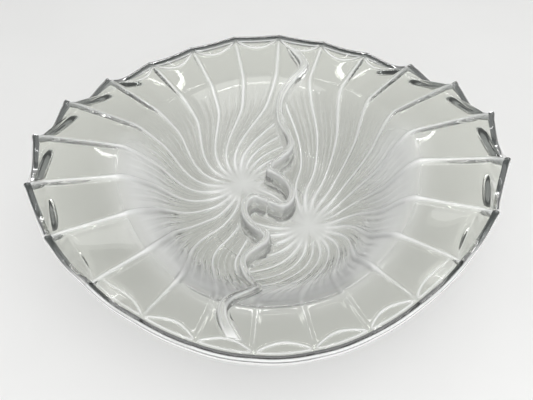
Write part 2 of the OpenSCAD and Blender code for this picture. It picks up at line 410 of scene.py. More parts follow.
    def lasting(self, a: Array, r: Array, side_loss: float, end_loss: float, front_loss: float) -> Array:
        """Find what is left of a rib as it nears the rim and where it lies on the front.

        Args:
            a: Angles round the dish.
            r: Distances from its middle.
            side_loss: Share that the ribs lose at the rim, along the low sides.
            end_loss: Share that they lose at the rim, at the raised ends.
            front_loss: Share that they lose on the front.

        Returns:
            The share that is left at each point.
        """
        near_rim = smooth((r - self.bevel_edge(a) + self.rim_ease) / self.rim_fade)
        loss = blend(side_loss, end_loss, self.ends(a))
        return (1 - loss * near_rim) * (1 - front_loss * self.front(a, r))

    def fine_lines(self, count: Array, reach: Array, r: Array) -> Array:
        """Find the height of the fine lines that run between the ribs in the basins.

        Args:
            count: Rib counts.
            reach: Distances to the ribs' hub.
            r: Distances from the middle of the dish.

        Returns:
            The height at each point, above or below the plain surface.
        """
        first, second = self.line_counts
        inside = 1 - smooth((r / self.mean_radius - self.line_end) / self.line_fade)
        near = smooth((reach - self.line_start) / self.line_grow)
        wave = np.cos(2 * math.pi * first * count)
        wave = wave + self.second_line * np.cos(2 * math.pi * second * count + self.second_shift)
        return self.line_height * inside * near * wave * np.clip(reach / self.line_full, self.least_line, 1.0)

    def flutes(self, a: Array, r: Array) -> Array:
        """Depth of the flutes, which hollow the shelf between its ribs."""
        return self.flute_depth * self.hollow(a) * smooth((r - self.shoulder) / self.flute_run)

    def bevels(self, a: Array, r: Array) -> Array:
        """Depth of the crescent bevels, which fall to the edge."""
        inner = self.bevel_edge(a)
        return self.dip(a) * np.clip((r - inner) / (self.rim_inner(a) - inner), 0, 1)

    def creases(self, a: Array, r: Array) -> Array:
        """Height of the crease that outlines each crescent."""
        height = self.crease_height * self.between_ribs(a) * (1 - self.crease_end_loss * self.ends(a))
        return height * bell(r - self.bevel_edge(a), self.crease_width)

    def top_z(self, side: Side, x: Array, y: Array) -> Array:
        """Find the height of the upper surface, with its ribs, flutes, bevels and fine lines.

        Args:
            side: The half of the dish, which settles the ribs' hub.
            x: Distances along the dish.
            y: Distances across the dish.

        Returns:
            The height at each point.
        """
        a = np.arctan2(y, x)
        count, reach, r = self.rib_field(side, x, y)
        climb = self.climb(r, self.shoulder - self.wall_run, self.shoulder)
        base = blend(self.floor_top, self.shelf_z(a, r), climb)
        slim = blend(self.rib_slim, 1.0, smooth((reach - self.slim_start) / self.slim_run))
        ridge = np.clip(1 - (self.from_rib(count, reach) / (self.rib_half * slim)) ** 2, 0, 1) ** 2
        size = self.rib_height * slim * smooth((reach - self.rib_start) / self.rib_grow)
        ribs = size * ridge * self.lasting(a, r, 1.0, self.rib_end_loss, self.rib_front_loss)
        lines = self.fine_lines(count, reach, r) * (1 - ridge)
        return base + ribs + lines - self.flutes(a, r) - self.bevels(a, r) + self.creases(a, r)

    def under_z(self, x: Array, y: Array) -> Array:
        """Find the height of the plain underside.

        Args:
            x: Distances along the dish.
            y: Distances across the dish.

        Returns:
            The height at each point.
        """
        a, r = np.arctan2(y, x), np.hypot(x, y)
        climb = self.climb(r, self.foot_radius + self.heel_gap, self.shoulder + self.shoulder_gap)
        inner = self.bevel_edge(a) - self.bevel_ease
        drop = self.dip(a) * smooth((r - inner) / (self.rim_inner(a) - inner))
        return blend(self.foot_height, self.shelf_z(a, r) - self.glass, climb) - drop - self.flutes(a, r)


@dataclass(frozen=True)
class GatheredLight:
    """Painted light: a milky white painted on the upper surface where the pressing would gather light. It
    stands in for caustics, which are off.
    """

    form: DishForm
    # Shares of painted light: highlights on the rib crests, a cloud round each hub, highlights on the fine
    # lines, outlines on the crescents and a band on the wall
    crest: float = 0.5
    crest_width: float = 0.4            # in half widths of a rib
    crest_start: float = 9.0 * MM
    crest_grow: float = 20.0 * MM
    side_loss: float = 0.9
    front_loss: float = 0.85
    hub: float = 0.42
    hub_radius: float = 24.0 * MM
    lobes: tuple[tuple[int, float, float], ...] = ((3, 0.22, 0.8), (7, 0.16, 2.1), (17, 0.1, 0.0))
    lines: float = 0.3
    outline: float = 0.65
    crease_width: float = 0.9 * MM
    edge_width: float = 0.7 * MM
    edge_inset: float = 1.5 * MM
    wall: float = 0.6
    wall_place: float = 0.84            # in shoulder radii
    wall_width: float = 0.16
    wall_back: float = 0.5              # sine towards the back at which the band has faded
    wall_back_loss: float = 0.85
    most: float = 0.7

    def hubs(self, count: Array, reach: Array) -> Array:
        """Find the painted light cloud round a hub. Three sets of lobes make its outline uneven.

        Args:
            count: Rib counts.
            reach: Distances to the ribs' hub.

        Returns:
            The painted light share at each point.
        """
        turn = count * self.form.pitch
        uneven = 1 + sum(size * np.cos(number * turn + shift) for number, size, shift in self.lobes)
        return self.hub * bell(reach, self.hub_radius * uneven)

    def outlines(self, a: Array, r: Array) -> Array:
        """Find the two painted highlight lines that outline each crescent.

        Args:
            a: Angles round the dish.
            r: Distances from its middle.

        Returns:
            The painted light share at each point.
        """
        form = self.form
        line = bell(r - form.bevel_edge(a), self.crease_width)
        line = line + bell(r - form.rim_inner(a) + self.edge_inset, self.edge_width)
        return self.outline * line * form.between_ribs(a) * (1 - form.ends(a))

    def walls(self, a: Array, r: Array) -> Array:
        """Find the soft painted light band below the shoulder, which fades at the back.

        Args:
            a: Angles round the dish.
            r: Distances from its middle.

        Returns:
            The painted light share at each point.
        """
        band = bell(r / self.form.shoulder - self.wall_place, self.wall_width)
        return self.wall * band * (1 - self.wall_back_loss * smooth(np.sin(a) / self.wall_back))

    def share(self, side: Side, x: Array, y: Array) -> Array:
        """Find how much painted light the upper surface takes.

        Args:
            side: The half of the dish.
            x: Distances along the dish.
            y: Distances across the dish.

        Returns:
            The painted light share at each point.
        """
        form = self.form
        a = np.arctan2(y, x)
        count, reach, r = form.rib_field(side, x, y)
        crests = self.crest * bell(form.from_rib(count, reach), self.crest_width * form.rib_half)
        crests = crests * smooth((reach - self.crest_start) / self.crest_grow)
        crests = crests * form.lasting(a, r, self.side_loss, 0.0, self.front_loss)
        highest = form.line_height * (1 + form.second_line)
        lines = self.lines * np.clip(form.fine_lines(count, reach, r) / highest, 0, 1)
        total = crests + lines + self.hubs(count, reach) + self.outlines(a, r) + self.walls(a, r)
        return np.clip(total, 0, self.most)


# ---------------------------------------------------------------------------------------------
# Meshes
# ---------------------------------------------------------------------------------------------


@dataclass
class Shell:
    """A mesh under construction: points with a normal and a painted light and shade value each, and faces
    with a material.
    """

    points: list[Array] = field(default_factory=list)
    normals: list[Array] = field(default_factory=list)
    painted_lights_and_shades: list[Array] = field(default_factory=list)
    faces: list[Array] = field(default_factory=list)
    finishes: list[Array] = field(default_factory=list)
    count: int = 0

    def add_points(self, points: Array, normals: Array, painted_light_and_shade: Array | float = 0.0) -> Array:
        """Add a grid of points.

        Args:
            points: Points, shaped rows by columns by 3.
            normals: The same shape, one unit vector for each point.
            painted_light_and_shade: How much painted light, or below 0 painted shade, the glass takes at each
                point, shaped rows by columns, or one value.

        Returns:
            The grid of the points' numbers.
        """
        rows, columns = points.shape[:2]
        numbers = np.arange(rows * columns).reshape(rows, columns) + self.count
        self.points.append(points.reshape(-1, 3))
        self.normals.append(normals.reshape(-1, 3))
        self.painted_lights_and_shades.append(np.broadcast_to(painted_light_and_shade, (rows, columns)).reshape(-1))
        self.count += rows * columns
        return numbers

    def add_grid(self, numbers: Array, flip: bool, finish: Array | int = 0) -> None:
        """Add the quads of a grid.

        Args:
            numbers: The grid's point numbers.
            flip: True to turn the quads over.
            finish: The number of each quad's material, or one number for all.
        """
        a, b = numbers[:-1, :-1], numbers[:-1, 1:]
        c, d = numbers[1:, 1:], numbers[1:, :-1]
        quads = np.stack([a, d, c, b] if flip else [a, b, c, d], axis=-1)
        self.faces.append(quads.reshape(-1, 4))
        self.finishes.append(np.broadcast_to(finish, a.shape).reshape(-1))

    def polygons(self, where: Array) -> tuple[list[list[int]], list[int]]:
        """Weld the faces' corners and drop the faces that this leaves empty.

        Args:
            where: The welded number of each point.

        Returns:
            The faces that are left, and the number of each one's material.
        """
        faces, finishes = where[np.concatenate(self.faces)], np.concatenate(self.finishes)
        polygons, kept = [], []
        for face, finish in zip(faces.tolist(), finishes.tolist()):
            corners = [v for k, v in enumerate(face) if v != face[k - 1]]
            if len(corners) > 2 and len(set(corners)) == len(corners):
                polygons.append(corners)
                kept.append(finish)
        return polygons, kept

    def build(self, name: str, materials: list[bpy.types.Material]) -> bpy.types.Object:
        """Weld the points and make the object.

        Args:
            name: The piece's name.
            materials: The piece's materials, in the order that the faces number them.

        Returns:
            The finished object, linked into the scene.
        """
        points = np.concatenate(self.points)
        keys = np.round(points / WELD).astype(np.int64)
        _, first, where = np.unique(keys, axis=0, return_index=True, return_inverse=True)
        polygons, finishes = self.polygons(where.reshape(-1))
        mesh = bpy.data.meshes.new(name)
        mesh.from_pydata(points[first].tolist(), [], polygons)
        for material in materials:
            mesh.materials.append(material)
        mesh.polygons.foreach_set("material_index", np.array(finishes, np.int32))
        mesh.polygons.foreach_set("use_smooth", np.ones(len(polygons), bool))
        # painted light, and below 0 painted shade, for the glass material to read
        painted_light_and_shade = np.concatenate(self.painted_lights_and_shades)[first].astype(np.float32)
        mesh.attributes.new("painted_light_and_shade", "FLOAT", "POINT").data.foreach_set("value", painted_light_and_shade)
        mesh.validate()
        mesh.normals_split_custom_set_from_vertices(np.concatenate(self.normals)[first].tolist())
        piece = bpy.data.objects.new(name, mesh)
        bpy.context.scene.collection.objects.link(piece)
        return piece


def unit(vectors: Array) -> Array:
    """Scale vectors to length 1."""
    length = np.linalg.norm(vectors, axis=-1, keepdims=True)
    return vectors / np.maximum(length, 1e-12)


def height_normals(height: Callable[[Array, Array], Array], x: Array, y: Array) -> Array:
    """Find the normals of a surface that a function draws.

    Args:
        height: The function that gives the surface's height over x and y.
        x: Distances along the dish.
        y: Distances across the dish.

    Returns:
        A unit normal for each point, pointing up.
    """
    step = 0.25 * MM
    slope_x = (height(x + step, y) - height(x - step, y)) / (2 * step)
    slope_y = (height(x, y + step) - height(x, y - step)) / (2 * step)
    return unit(np.stack([-slope_x, -slope_y, np.ones_like(x)], axis=-1))


def grid_normals(points: Array, closed: bool = False) -> Array:
    """Find the normals of a grid of points.

    Args:
        points: Points, shaped rows by columns by 3.
        closed: True when the last row meets the first.

    Returns:
        A unit normal for each point.
    """
    if closed:
        along = np.roll(points, -1, axis=0) - np.roll(points, 1, axis=0)
    else:
        along = np.gradient(points, axis=0)
    return unit(np.cross(np.gradient(points, axis=1), along))


# ---------------------------------------------------------------------------------------------
# Pieces
# ---------------------------------------------------------------------------------------------

# Distances across from a wing's centre line at which the basins and the divider share columns
STRIP_SHARES = np.array([0.0, 0.35, 0.7, 1.0])


@dataclass
class HalfSurface:
    """One half of the dish between two radii, as a closed slab of glass."""

    form: DishForm
    side: Side
    name: str

    def edges(self, r: Array) -> tuple[Array, Array]:
        """Find the columns that lie under the divider.

        Args:
            r: Radii, shaped rows by 1.

        Returns:
            The columns' angles at the back wing and at the front wing.
        """
        form, turn = self.form, self.side.value
        strip = form.offset_angle(r, STRIP_SHARES * form.divider_foot)
        wing = form.wing_angle(r)
        return wing + turn * strip, wing + turn * (math.pi - strip[:, ::-1])

    def build(
        self, radii: Array, angles: Array, covered: Array, seated: Array, materials: list[bpy.types.Material]
    ) -> bpy.types.Object:
        """Build the slab.

        Args:
            radii: Radii, shaped rows by columns.
            angles: Angles, the same shape.
            covered: True for each row of quads that the divider stands on.
            seated: True for each row of quads that the foot ring is under.
            materials: The glass and the joint.

        Returns:
            The finished object.
        """
        x, y = radii * np.cos(angles), radii * np.sin(angles)
        under = self.form.under_z

        def top(px: Array, py: Array) -> Array:
            """Height of this half's upper surface."""
            return self.form.top_z(self.side, px, py)

        shell, flip = Shell(), self.side is Side.LEFT
        # painted highlights and painted light bands on the upper surface; the underside takes none
        painted_light_and_shade = GatheredLight(self.form).share(self.side, x, y)
        upper = shell.add_points(np.stack([x, y, top(x, y)], -1), height_normals(top, x, y), painted_light_and_shade)
        lower = shell.add_points(np.stack([x, y, under(x, y)], -1), -height_normals(under, x, y))
        strip = len(STRIP_SHARES) - 1
        finish = np.zeros((x.shape[0] - 1, x.shape[1] - 1), int)
        finish[covered, :strip] = Finish.JOINT.value
        finish[covered, -strip:] = Finish.JOINT.value
        shell.add_grid(upper, flip, finish)
        shell.add_grid(lower, not flip, np.where(seated, Finish.JOINT.value, Finish.GLASS.value)[:, None])
        for row in (0, -1):
            shell.add_grid(np.stack([upper[row], lower[row]]), flip == (row == -1), Finish.JOINT.value)
        for column in (0, -1):
            wall = np.stack([upper[:, column], lower[:, column]])
            shell.add_grid(wall, flip == (column == -1), Finish.JOINT.value)
        return shell.build(self.name, materials)


@dataclass
class Basin(HalfSurface):
    """One basin, from the middle of the dish to the shoulder."""

    core_rings: int = 11
    rings: int = 140
    columns: int = 280

    def make(self, materials: list[bpy.types.Material]) -> bpy.types.Object:
        """Build the basin, with rings of its own along the two edges of the foot ring.

        Args:
            materials: The glass and the joint.

        Returns:
            The finished object.
        """
        form = self.form
        core = 2 * form.divider_foot
        outer = np.linspace(core, form.shoulder, self.rings)
        for edge in (form.foot_inner, form.foot_radius):
            outer[np.argmin(np.abs(outer - edge))] = edge
        r = np.concatenate([np.linspace(0, core, self.core_rings, endpoint=False), outer])
        middle = (r[1:] + r[:-1]) / 2
        seated = (middle > form.foot_inner) & (middle < form.foot_radius)
        back, front = self.edges(r[:, None])
        share = np.linspace(0, 1, self.columns + 2)[1:-1]
        angles = np.concatenate([back, blend(back[:, -1:], front[:, :1], share), front], axis=1)
        radii = np.broadcast_to(r[:, None], angles.shape)
        return self.build(radii, angles, np.ones(len(seated), bool), seated, materials)


@dataclass
class Shelf(HalfSurface):
    """One half of the fluted shelf, from the shoulder to the rim, with its crescent bevels."""

    rings: int = 34
    bevel_rings: int = 14
    flute_columns: int = 40

    def angles(self, r: Array) -> Array:
        """Find the columns' angles, which stand still between the half's first and last ribs.

        Args:
            r: Radii, shaped rows by 1.

        Returns:
            Angles, shaped rows by columns, from the back wing's centre line to the front's.
        """
        form, turn, flutes = self.form, self.side.value, self.form.ribs // 2
        back, front = self.edges(r)
        first = form.axis + turn * form.pitch / 2
        last = form.axis + turn * (math.pi - form.pitch / 2)
        share = np.linspace(0, 1, self.flute_columns // 2 + 1)[1:]
        near = blend(back[:, -1:], first, share)
        far = blend(last, front[:, :1], share)[:, :-1]
        middle = np.linspace(first, last, self.flute_columns * (flutes - 1) + 1)[1:]
        middle = np.broadcast_to(middle, (len(r), len(middle)))
        return np.concatenate([back, near, middle, far, front], axis=1)

    def make(self, materials: list[bpy.types.Material]) -> bpy.types.Object:
        """Build the half shelf, with rings that follow the bevels.

        Args:
            materials: The glass and the joint.

        Returns:
            The finished object.
        """
        form = self.form
        flat = np.linspace(0, 1, self.rings)
        bevel = np.linspace(0, 1, self.bevel_rings)[1:]
        mean = form.width / 2 - form.rim_width - form.bevel / 2
        row_radius = np.concatenate([blend(form.shoulder, mean, flat), mean + bevel * form.bevel / 2])
        angles = self.angles(row_radius[:, None])
        edge, inner = form.bevel_edge(angles), form.rim_inner(angles)
        radii = np.concatenate([
            blend(form.shoulder, edge[: self.rings], flat[:, None]),
            blend(edge[self.rings :], inner[self.rings :], bevel[:, None]),
        ])
        covered = radii[1:, 0] < form.wing_end
        return self.build(radii, angles, covered, np.zeros(len(covered), bool), materials)


@dataclass
class Rim:
    """The fire-polished edge that runs round the shelf, with a small tab at the end of each rib."""

    form: DishForm
    columns: int = 960
    arc_points: int = 8
    tab_half: float = 2.8 * MM
    tab_out: float = 0.3 * MM
    tab_flat: float = 0.6               # half a tab's flat top and its slope, in half widths
    tab_slope: float = 0.5
    crown: float = 0.9 * MM             # how far the edge stands above the shelf
    rounding: tuple[tuple[float, float], ...] = ((0.2, 0.6), (0.4, 0.95))   # shares of width and crown
    heel: tuple[float, float] = (0.12, 0.1)     # shares of width and corner at the underside's edge
    corner: float = 2.6 * MM            # radius that the flame gave the edge's two corners
    undercut: float = 0.6 * MM          # how far the outer face leans in towards its foot
    light: float = 0.8                  # painted highlight: the light line along the front's outer corner
    dark: float = 0.45                  # painted shade: the dark lines above and below it
    front_start: float = 0.35           # sine towards the front at which these lines begin
    front_ease: float = 0.3

    def section(self) -> Array:
        """Find the edge's cross-section.

        Returns:
            Pairs of a share of the width outwards and a height, from the shelf over the top and
            down the outer face to its foot.
        """
        depth, width = self.form.rim_depth, self.form.rim_width
        steps = np.linspace(0, math.pi / 2, self.arc_points)
        turn, inset, low = self.corner / width, self.undercut / width, self.corner - depth
        over = [(out, up * self.crown) for out, up in self.rounding]
        heel = (self.heel[0], self.heel[1] * self.corner - depth)
        top = [(1 - turn + turn * math.sin(t), self.crown - self.corner * (1 - math.cos(t))) for t in steps]
        bottom = [(1 - inset - turn * (1 - math.cos(t)), low - self.corner * math.sin(t)) for t in steps]
        return np.array([(0.0, 0.0)] + over + top + bottom + [heel])

    def front_lines(self, count: int) -> Array:
        """Find the painted highlight, or below 0 the painted shade, at each point of the cross-section at the
        front.

        Args:
            count: Number of points, with the last one on the underside.

        Returns:
            A value for each point: painted shade over the crown, a painted highlight on the corner, painted
                shade down the face.
        """
        crown, lit, face = slice(1, 3), slice(4, 8), slice(8, count - 1)
        values = np.zeros(count)
        values[crown] = -self.dark
        values[lit] = self.light * np.sin(np.linspace(0.2, 0.8, lit.stop - lit.start) * math.pi)
        values[face] = -self.dark
        return values

    def tabs(self, a: Array, inner: Array) -> Array:
        """Find where the tabs at the raised ends stand.

        Args:
            a: Angles round the dish.
            inner: Radii of the rim's inner edge.

        Returns:
            1 on a tab and 0 between tabs.
        """
        from_rib = math.pi / 2 - np.arccos(np.clip(self.form.hollow(a), 0, 1))
        across = from_rib / (self.form.ribs / 2) * inner
        return (1 - smooth((across / self.tab_half - self.tab_flat) / self.tab_slope)) * self.form.ends(a)

    def make(self, materials: list[bpy.types.Material]) -> bpy.types.Object:
        """Build the rim.

        Args:
            materials: The glass and the joint.

        Returns:
            The finished object.
        """
        form = self.form
        a = (form.axis + np.linspace(0, 2 * math.pi, self.columns, endpoint=False))[:, None]
        inner = form.rim_inner(a)
        x, y = inner * np.cos(a), inner * np.sin(a)
        left = np.sin(a - form.axis) > 0
        top = np.where(left, form.top_z(Side.LEFT, x, y), form.top_z(Side.RIGHT, x, y))
        section = self.section()
        r = inner + section[None, :, 0] * (form.rim_width + self.tab_out * self.tabs(a, inner))
        points = np.stack([r * np.cos(a), r * np.sin(a), top + section[None, :, 1]], -1)
        under = np.stack([x, y, form.under_z(x, y)], -1)
        points = np.concatenate([points, under], axis=1)
        # a painted highlight between two painted shade lines along the front of the edge
        front = smooth((-np.sin(a) - self.front_start) / self.front_ease)
        painted_light_and_shade = front * self.front_lines(points.shape[1])
        shell = Shell()
        numbers = shell.add_points(points, -grid_normals(points, closed=True), painted_light_and_shade)
        loop = np.concatenate([numbers, numbers[:1]])
        shell.add_grid(loop, True)
        shell.add_grid(loop[:, [-1, 0]], True, Finish.JOINT.value)
        return shell.build("scalloped_rim_glass", materials)


@dataclass
class Divider:
    """The low wavy ribbon of glass between the basins, which curls over itself at the middle."""

    form: DishForm
    rows: int = 300
    top_points: int = 9
    wall_points: int = 4
    fillet_points: int = 6
    top_half: float = 2.5 * MM
    end_half: float = 3.6 * MM
    widen_start: float = 90.0 * MM
    widen_run: float = 40.0 * MM
    end_run: float = 9.0 * MM           # length in which a wing's end closes
    end_sink: float = 0.6               # share of its proud height that a wing loses on the shelf
    climb_share: float = 0.7            # share of the wall's run in which a wing climbs
    roundness: float = 0.8              # largest share of the height that the round top may take
    draw: float = 0.6 * MM              # how far the sides stand in from an even slope
    fillet_share: float = 0.16          # share of the height that the fillet at the foot takes
    # painted light: an even lightness over the whole ribbon
    body_painted_light: float = 0.25
    fold_painted_highlight: float = 0.4              # painted highlight: how bright the two edges of its top are
    fold_place: float = 0.85            # in half widths of its top
    fold_width: float = 0.35
    fold_low: float = 0.5               # share of its height above which they are bright
    fold_ease: float = 0.4

    def crown_z(self, r: Array, base: Array) -> Array:
        """Find the height of the divider's top.

        Args:
            r: Radii.
            base: Height of the dish's upper surface at each.

        Returns:
            The height of the top at each.
        """
        form = self.form
        climb = smooth((r - form.shoulder + form.wall_run) / (self.climb_share * form.wall_run))
        level = form.floor_top + form.divider_height + form.wing_rise * climb
        on_shelf = smooth((r - form.shoulder) / (form.wing_end - form.shoulder))
        proud = form.wing_proud * (1 - self.end_sink * on_shelf)
        past = np.clip((r - form.wing_end + self.end_run) / self.end_run, 0, 1)
        closing = np.sqrt(np.clip(1 - past**2, 0, 1))
        return base + (np.maximum(level, base + proud) - base) * closing

    def section(self, rise: float, half: float) -> tuple[Array, Array]:
        """Find the divider's cross-section from its middle to its foot.

        Args:
            rise: Height of its top above the foot.
            half: Half its width just below the rounded top.

        Returns:
            Distances across, and the share of the rise at each.
        """
        foot = self.form.divider_foot
        turn = np.linspace(0, math.pi / 2, self.top_points)
        round_top = min(half, rise * self.roundness)
        flat = half - round_top if rise > MM else 0.0
        top_across = flat + (half - flat) * np.sin(turn)
        top_share = 1 - round_top / max(rise, MM) * (1 - np.cos(turn))
        wall_across = (half + foot) / 2 - self.draw
        wall_share = min(self.fillet_share, top_share[-1] / 2)
        steps = np.linspace(0, 1, self.wall_points + 1)[1:]
        bend = np.linspace(0, math.pi / 2, self.fillet_points + 1)[1:]
        fillet = wall_across + (foot - wall_across) * (1 - np.cos(bend))
        across = np.concatenate([top_across, blend(half, wall_across, steps), fillet])
        walls = blend(top_share[-1], wall_share, steps)
        return across, np.concatenate([top_share, walls, wall_share * (1 - np.sin(bend))])

    def wing(self, end: End) -> tuple[Array, Array, Array]:
        """Find the points of one wing.

        Args:
            end: Which wing.

        Returns:
            The upper surface's points, the painted light on it at each, and the points of the face that
            it stands on.
        """
        form = self.form
        r = np.linspace(0, form.wing_end, self.rows)
        a0 = form.wing_angle(r) + math.pi * end.value
        base = form.top_z(Side.LEFT, r * np.cos(a0), r * np.sin(a0))
        crown, slant = self.crown_z(r, base), form.slant(r)
        half = blend(self.top_half, self.end_half, smooth((r - self.widen_start) / self.widen_run))
        upper, lower, painted_light_and_shade = [], [], []
        for k, radius in enumerate(r):
            across, share = self.section(crown[k] - base[k], half[k])
            both = np.concatenate([-across[::-1], across[1:]])
            angle = a0[k] + form.offset_angle(np.array([radius]), both)
            shares = np.interp(np.minimum(np.abs(both), radius / slant[k]), across, share)
            x, y = radius * np.cos(angle), radius * np.sin(angle)
            left = (both > 0) == (end is End.BACK)
            foot = np.where(left, form.top_z(Side.LEFT, x, y), form.top_z(Side.RIGHT, x, y))
            upper.append(np.stack([x, y, blend(foot, crown[k], shares)], -1))
            lower.append(np.stack([x, y, foot], -1))
            # painted highlights along the two edges of the top, over an even painted lightness
            fold = bell(np.abs(both) / half[k] - self.fold_place, self.fold_width)
            high = smooth((shares - self.fold_low) / self.fold_ease)
            painted_light_and_shade.append(self.body_painted_light + self.fold_painted_highlight * fold * high)
        return np.array(upper), np.array(painted_light_and_shade), np.array(lower)

    def make(self, materials: list[bpy.types.Material]) -> bpy.types.Object:
        """Build both wings as one ribbon.

        Args:
            materials: The glass and the joint.

        Returns:
            The finished object.
        """
        shell, up = Shell(), np.array((0.0, 0.0, 1.0))
        crowded = 3                     # rows at the middle that lie too close for a normal of their own
        for end in End:
            upper, painted_light_and_shade, lower = self.wing(end)
            normals = grid_normals(upper)
            normals[np.linalg.norm(normals, axis=-1) < 0.5] = up
            normals = np.where(normals[..., 2:] < 0, -normals, normals)
            normals[:crowded] = up
            top = shell.add_points(upper, normals, painted_light_and_shade)
            foot = shell.add_points(lower, np.broadcast_to(-up, lower.shape))
            shell.add_grid(top, True)
            shell.add_grid(foot, False, Finish.JOINT.value)
            shell.add_grid(np.stack([top[-1], foot[-1]]), True, Finish.JOINT.value)
        return shell.build("divider_glass", materials)


@dataclass
class FootRing:
    """The ring that the dish stands on, with rounded edges."""

    form: DishForm
    columns: int = 192
    arc_points: int = 7
    edge: float = 1.2 * MM

    def make(self, materials: list[bpy.types.Material]) -> bpy.types.Object:
        """Build the ring.

        Args:
            materials: The glass and the joint.

        Returns:
            The finished object.
        """
        outer, inner, height = self.form.foot_radius, self.form.foot_inner, self.form.foot_height
        turn = np.linspace(0, math.pi / 2, self.arc_points)
        back, low = self.edge * (1 - np.cos(turn)), self.edge * (1 - np.sin(turn))
        r = np.concatenate([[outer], outer - back, (inner + back)[::-1], [inner]])
        z = np.concatenate([[height], low, low[::-1], [height]])
        a = np.linspace(0, 2 * math.pi, self.columns, endpoint=False)[:, None]
        points = np.stack([r * np.cos(a), r * np.sin(a), np.broadcast_to(z, (self.columns, len(z)))], -1)
        shell = Shell()
        numbers = shell.add_points(points, -grid_normals(points, closed=True))
        loop = np.concatenate([numbers, numbers[:1]])
        shell.add_grid(loop, True)
        shell.add_grid(loop[:, [-1, 0]], True, Finish.JOINT.value)
        return shell.build("foot_ring_glass", materials)


# ---------------------------------------------------------------------------------------------
# Finishes
# ---------------------------------------------------------------------------------------------


def linear(colour: str) -> tuple[float, float, float, float]:
    """Turn an sRGB hex colour into linear red, green, blue and an alpha of 1."""
    parts = [int(colour[k : k + 2], 16) / 255 for k in (1, 3, 5)]
    values = [c / 12.92 if c <= 0.04045 else ((c + 0.055) / 1.055) ** 2.4 for c in parts]
    return (values[0], values[1], values[2], 1.0)


def add_node(
    tree: bpy.types.NodeTree, kind: str, links: dict[str | int, object] | None = None, **settings: str
) -> bpy.types.Node:
    """Add a node to a tree.

    Args:
        tree: The node tree.
        kind: The node's type name.
        links: Output sockets or plain values for the node's inputs, by input name or number.
        settings: The node's own properties.

    Returns:
        The new node.
    """
    node = tree.nodes.new(kind)
    for name, value in settings.items():
        setattr(node, name, value)
    for name, value in (links or {}).items():
        if isinstance(value, bpy.types.NodeSocket):
            tree.links.new(value, node.inputs[name])
        else:
            node.inputs[name].default_value = value
    return node


def new_material(name: str) -> tuple[bpy.types.Material, bpy.types.NodeTree]:
    """Make an empty node material.

    Args:
        name: The material's name.

    Returns:
        The material and its node tree.
    """
    material = bpy.data.materials.new(name)
    material.use_nodes = True
    material.node_tree.nodes.clear()
    return material, material.node_tree


@dataclass(frozen=True)
class PressedGlass:
    """Clear soda-lime glass from a mould. It bends light at every surface, which draws ribs and edges."""

    name: str = "clear_pressed_soda_glass"
    colour: str = "#e4e6df"             # the faint grey-green of iron in the sand, darkened as a painted shade for the dish's shadow on the table under it
    painted_light_white: str = "#fbfcfb"               # painted light: white where the glass would gather light
    dark: str = "#1d2020"               # painted shade: near black where a thick edge sends light away
    full: float = 0.5                   # painted light at which the colour is all painted white; the same below 0, all painted shade
    roughness: float = 0.0
    ior: float = 1.52
    ripple_width: float = 16.0 * MM     # slow chill ripple that a pressing takes from its mould
    ripple_height: float = 0.05 * MM
    grain_width: float = 1.5 * MM       # a ground foot's grain, drawn coarser than it is, to show
    grain: float = 0.0
    shade: str = "#ffffff"              # clear glass lets nearly all the light through to the table

    def make(self) -> bpy.types.Material:
        """Make the material.

        Returns:
            Glass that a point's painted light turns white and its painted shade turns dark, with a shadow
            that lets light through.
        """
        material, tree = new_material(self.name)
        place = add_node(tree, "ShaderNodeTexCoord").outputs["Object"]
        ripple = add_node(tree, "ShaderNodeTexNoise", {
            "Vector": place, "Scale": 1 / self.ripple_width, "Detail": 1.0})
        bump = add_node(tree, "ShaderNodeBump", {
            "Height": ripple.outputs["Fac"], "Distance": self.ripple_height, "Strength": 1.0})
        grain = add_node(tree, "ShaderNodeTexNoise", {
            "Vector": place, "Scale": 1 / self.grain_width, "Detail": 3.0})
        rough = add_node(tree, "ShaderNodeMapRange", {
            "Value": grain.outputs["Fac"], "To Min": self.roughness, "To Max": self.roughness + self.grain})
        # painted light and painted shade, drawn into the base colour and taken out of the transmission
        painted_light_and_shade = add_node(tree, "ShaderNodeAttribute", attribute_name="painted_light_and_shade").outputs["Fac"]
        clarity = add_node(tree, "ShaderNodeMapRange", {"Value": painted_light_and_shade, "To Min": 1.0, "To Max": 0.0})
        share = add_node(tree, "ShaderNodeMapRange", {
            "Value": painted_light_and_shade, "From Min": -self.full, "From Max": self.full})
        tint_with_painted_light = add_node(tree, "ShaderNodeValToRGB", {"Fac": share.outputs["Result"]})
        tint_with_painted_light.color_ramp.elements[0].color = linear(self.dark)
        tint_with_painted_light.color_ramp.elements[1].color = linear(self.painted_light_white)
        tint_with_painted_light.color_ramp.elements.new(0.5).color = linear(self.colour)
        body = add_node(tree, "ShaderNodeBsdfPrincipled", {
            "Base Color": tint_with_painted_light.outputs["Color"], "Transmission Weight": clarity.outputs["Result"],
            "IOR": self.ior, "Roughness": rough.outputs["Result"], "Normal": bump.outputs["Normal"]})
        clear = add_node(tree, "ShaderNodeBsdfTransparent", {"Color": linear(self.shade)})
        path = add_node(tree, "ShaderNodeLightPath")
        mix = add_node(tree, "ShaderNodeMixShader", {
            0: path.outputs["Is Shadow Ray"], 1: body.outputs[0], 2: clear.outputs[0]})
        add_node(tree, "ShaderNodeOutputMaterial", {"Surface": mix.outputs[0]})
        return material


@dataclass(frozen=True)
class FirePolishedGlassPaintedShade(PressedGlass):
    """The edge after a flame has rounded it. Its dark grey colour is painted shade, for the dark outline that
    a thick edge shows.
    """

    name: str = "fire_polished_glass_painted_shade"
    # painted shade: dark grey for the edge's dark outline
    colour: str = "#5c605f"


@dataclass(frozen=True)
class GroundGlass(PressedGlass):
    """The foot where it was ground level. Its fine grain takes the edge off what shows through it."""

    name: str = "ground_foot_glass"
    grain: float = 0.02


